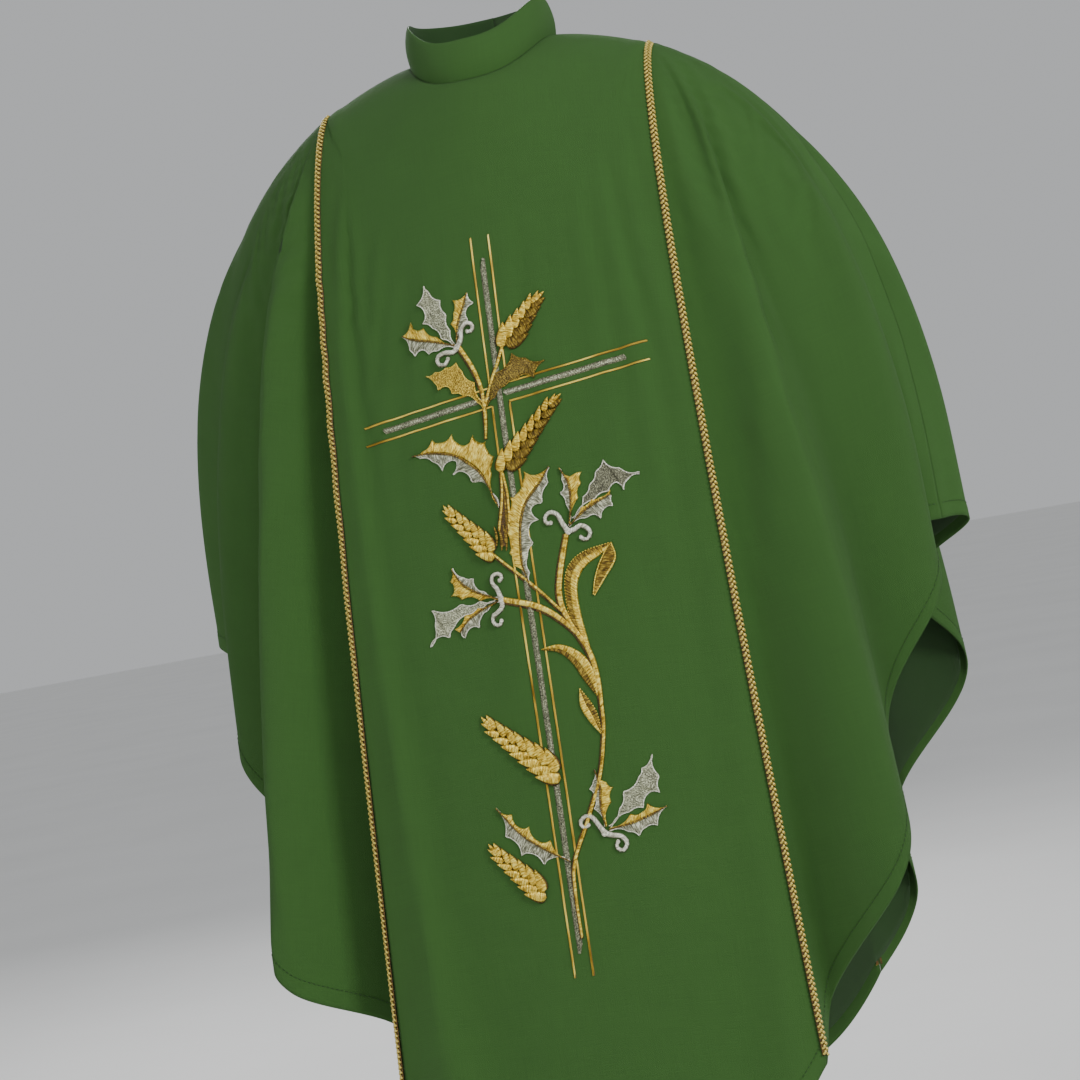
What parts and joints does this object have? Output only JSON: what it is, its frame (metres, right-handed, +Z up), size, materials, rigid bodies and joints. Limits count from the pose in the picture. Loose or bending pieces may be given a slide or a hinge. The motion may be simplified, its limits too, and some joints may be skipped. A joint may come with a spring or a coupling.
{
  "type": "chasuble",
  "caption": "Lined poncho-shaped church vestment with standing collar, braided centre panel, embroidered cross and plant motifs, and an inner hanging loop.",
  "frame": {"origin": "middle of the neck opening, level with the tops of the wearer's shoulders", "axes": "+Z up, -Y towards the front of the garment, +X towards the wearer's left"},
  "size_m": [0.8647, 0.475, 1.2401],
  "materials": {
    "green_cloth": "fine matt weave",
    "green_lining": "soft satin",
    "white_backing": "plain weave",
    "gold_braid": "plaited metallic cord",
    "gold_thread": "satin-stitched metallic thread",
    "bronze_thread": "satin-stitched metallic thread",
    "silver_thread": "satin-stitched metallic thread"
  },
  "bodies": {
    "garment": {"front_centre_panel": "green_cloth", "front_left_panel": "green_cloth", "front_right_panel": "green_cloth", "back_centre_panel": "green_cloth", "back_left_panel": "green_cloth", "back_right_panel": "green_cloth", "front_lining": "green_lining", "back_lining": "green_lining", "front_interfacing": "white_backing", "back_interfacing": "white_backing", "neck_facing": "green_lining", "collar_outer": "green_cloth", "collar_interfacing": "white_backing", "collar_lining": "green_lining", "left_shoulder_tape": "white_backing", "right_shoulder_tape": "white_backing", "front_left_braid": "gold_braid", "front_right_braid": "gold_braid", "back_left_braid": "gold_braid", "back_right_braid": "gold_braid", "blank_label": "white_backing", "cross_silver_upright": "silver_thread", "cross_silver_bar": "silver_thread", "cross_gold_edging": "gold_thread", "main_stem": "gold_thread", "upper_left_flower": "silver_thread", "right_flower": "silver_thread", "lower_left_flower": "silver_thread", "lower_right_flower": "silver_thread", "top_wheat_ear": "gold_thread", "centre_wheat_ear": "gold_thread", "left_wheat_ear": "gold_thread", "lower_wheat_ear": "gold_thread", "foot_wheat_ear": "gold_thread", "left_gold_leaf": "gold_thread", "right_bronze_leaf": "bronze_thread", "holly_leaf": "gold_thread", "centre_leaf": "gold_thread", "bent_leaf": "gold_thread", "crescent_leaf": "gold_thread", "small_leaf": "gold_thread", "foot_leaf": "gold_thread", "back_cross_silver": "silver_thread", "back_cross_gold_edging": "gold_thread"},
    "loop": {"hanging_loop": "green_lining"}
  },
  "joints": [
    {"name": "loop_hinge", "type": "hinge", "parent": "garment", "child": "loop", "pos_m": [0, 0.0594, 0.0134], "axis": [-1, 0, 0], "range_deg": [-5, 150]}
  ]
}
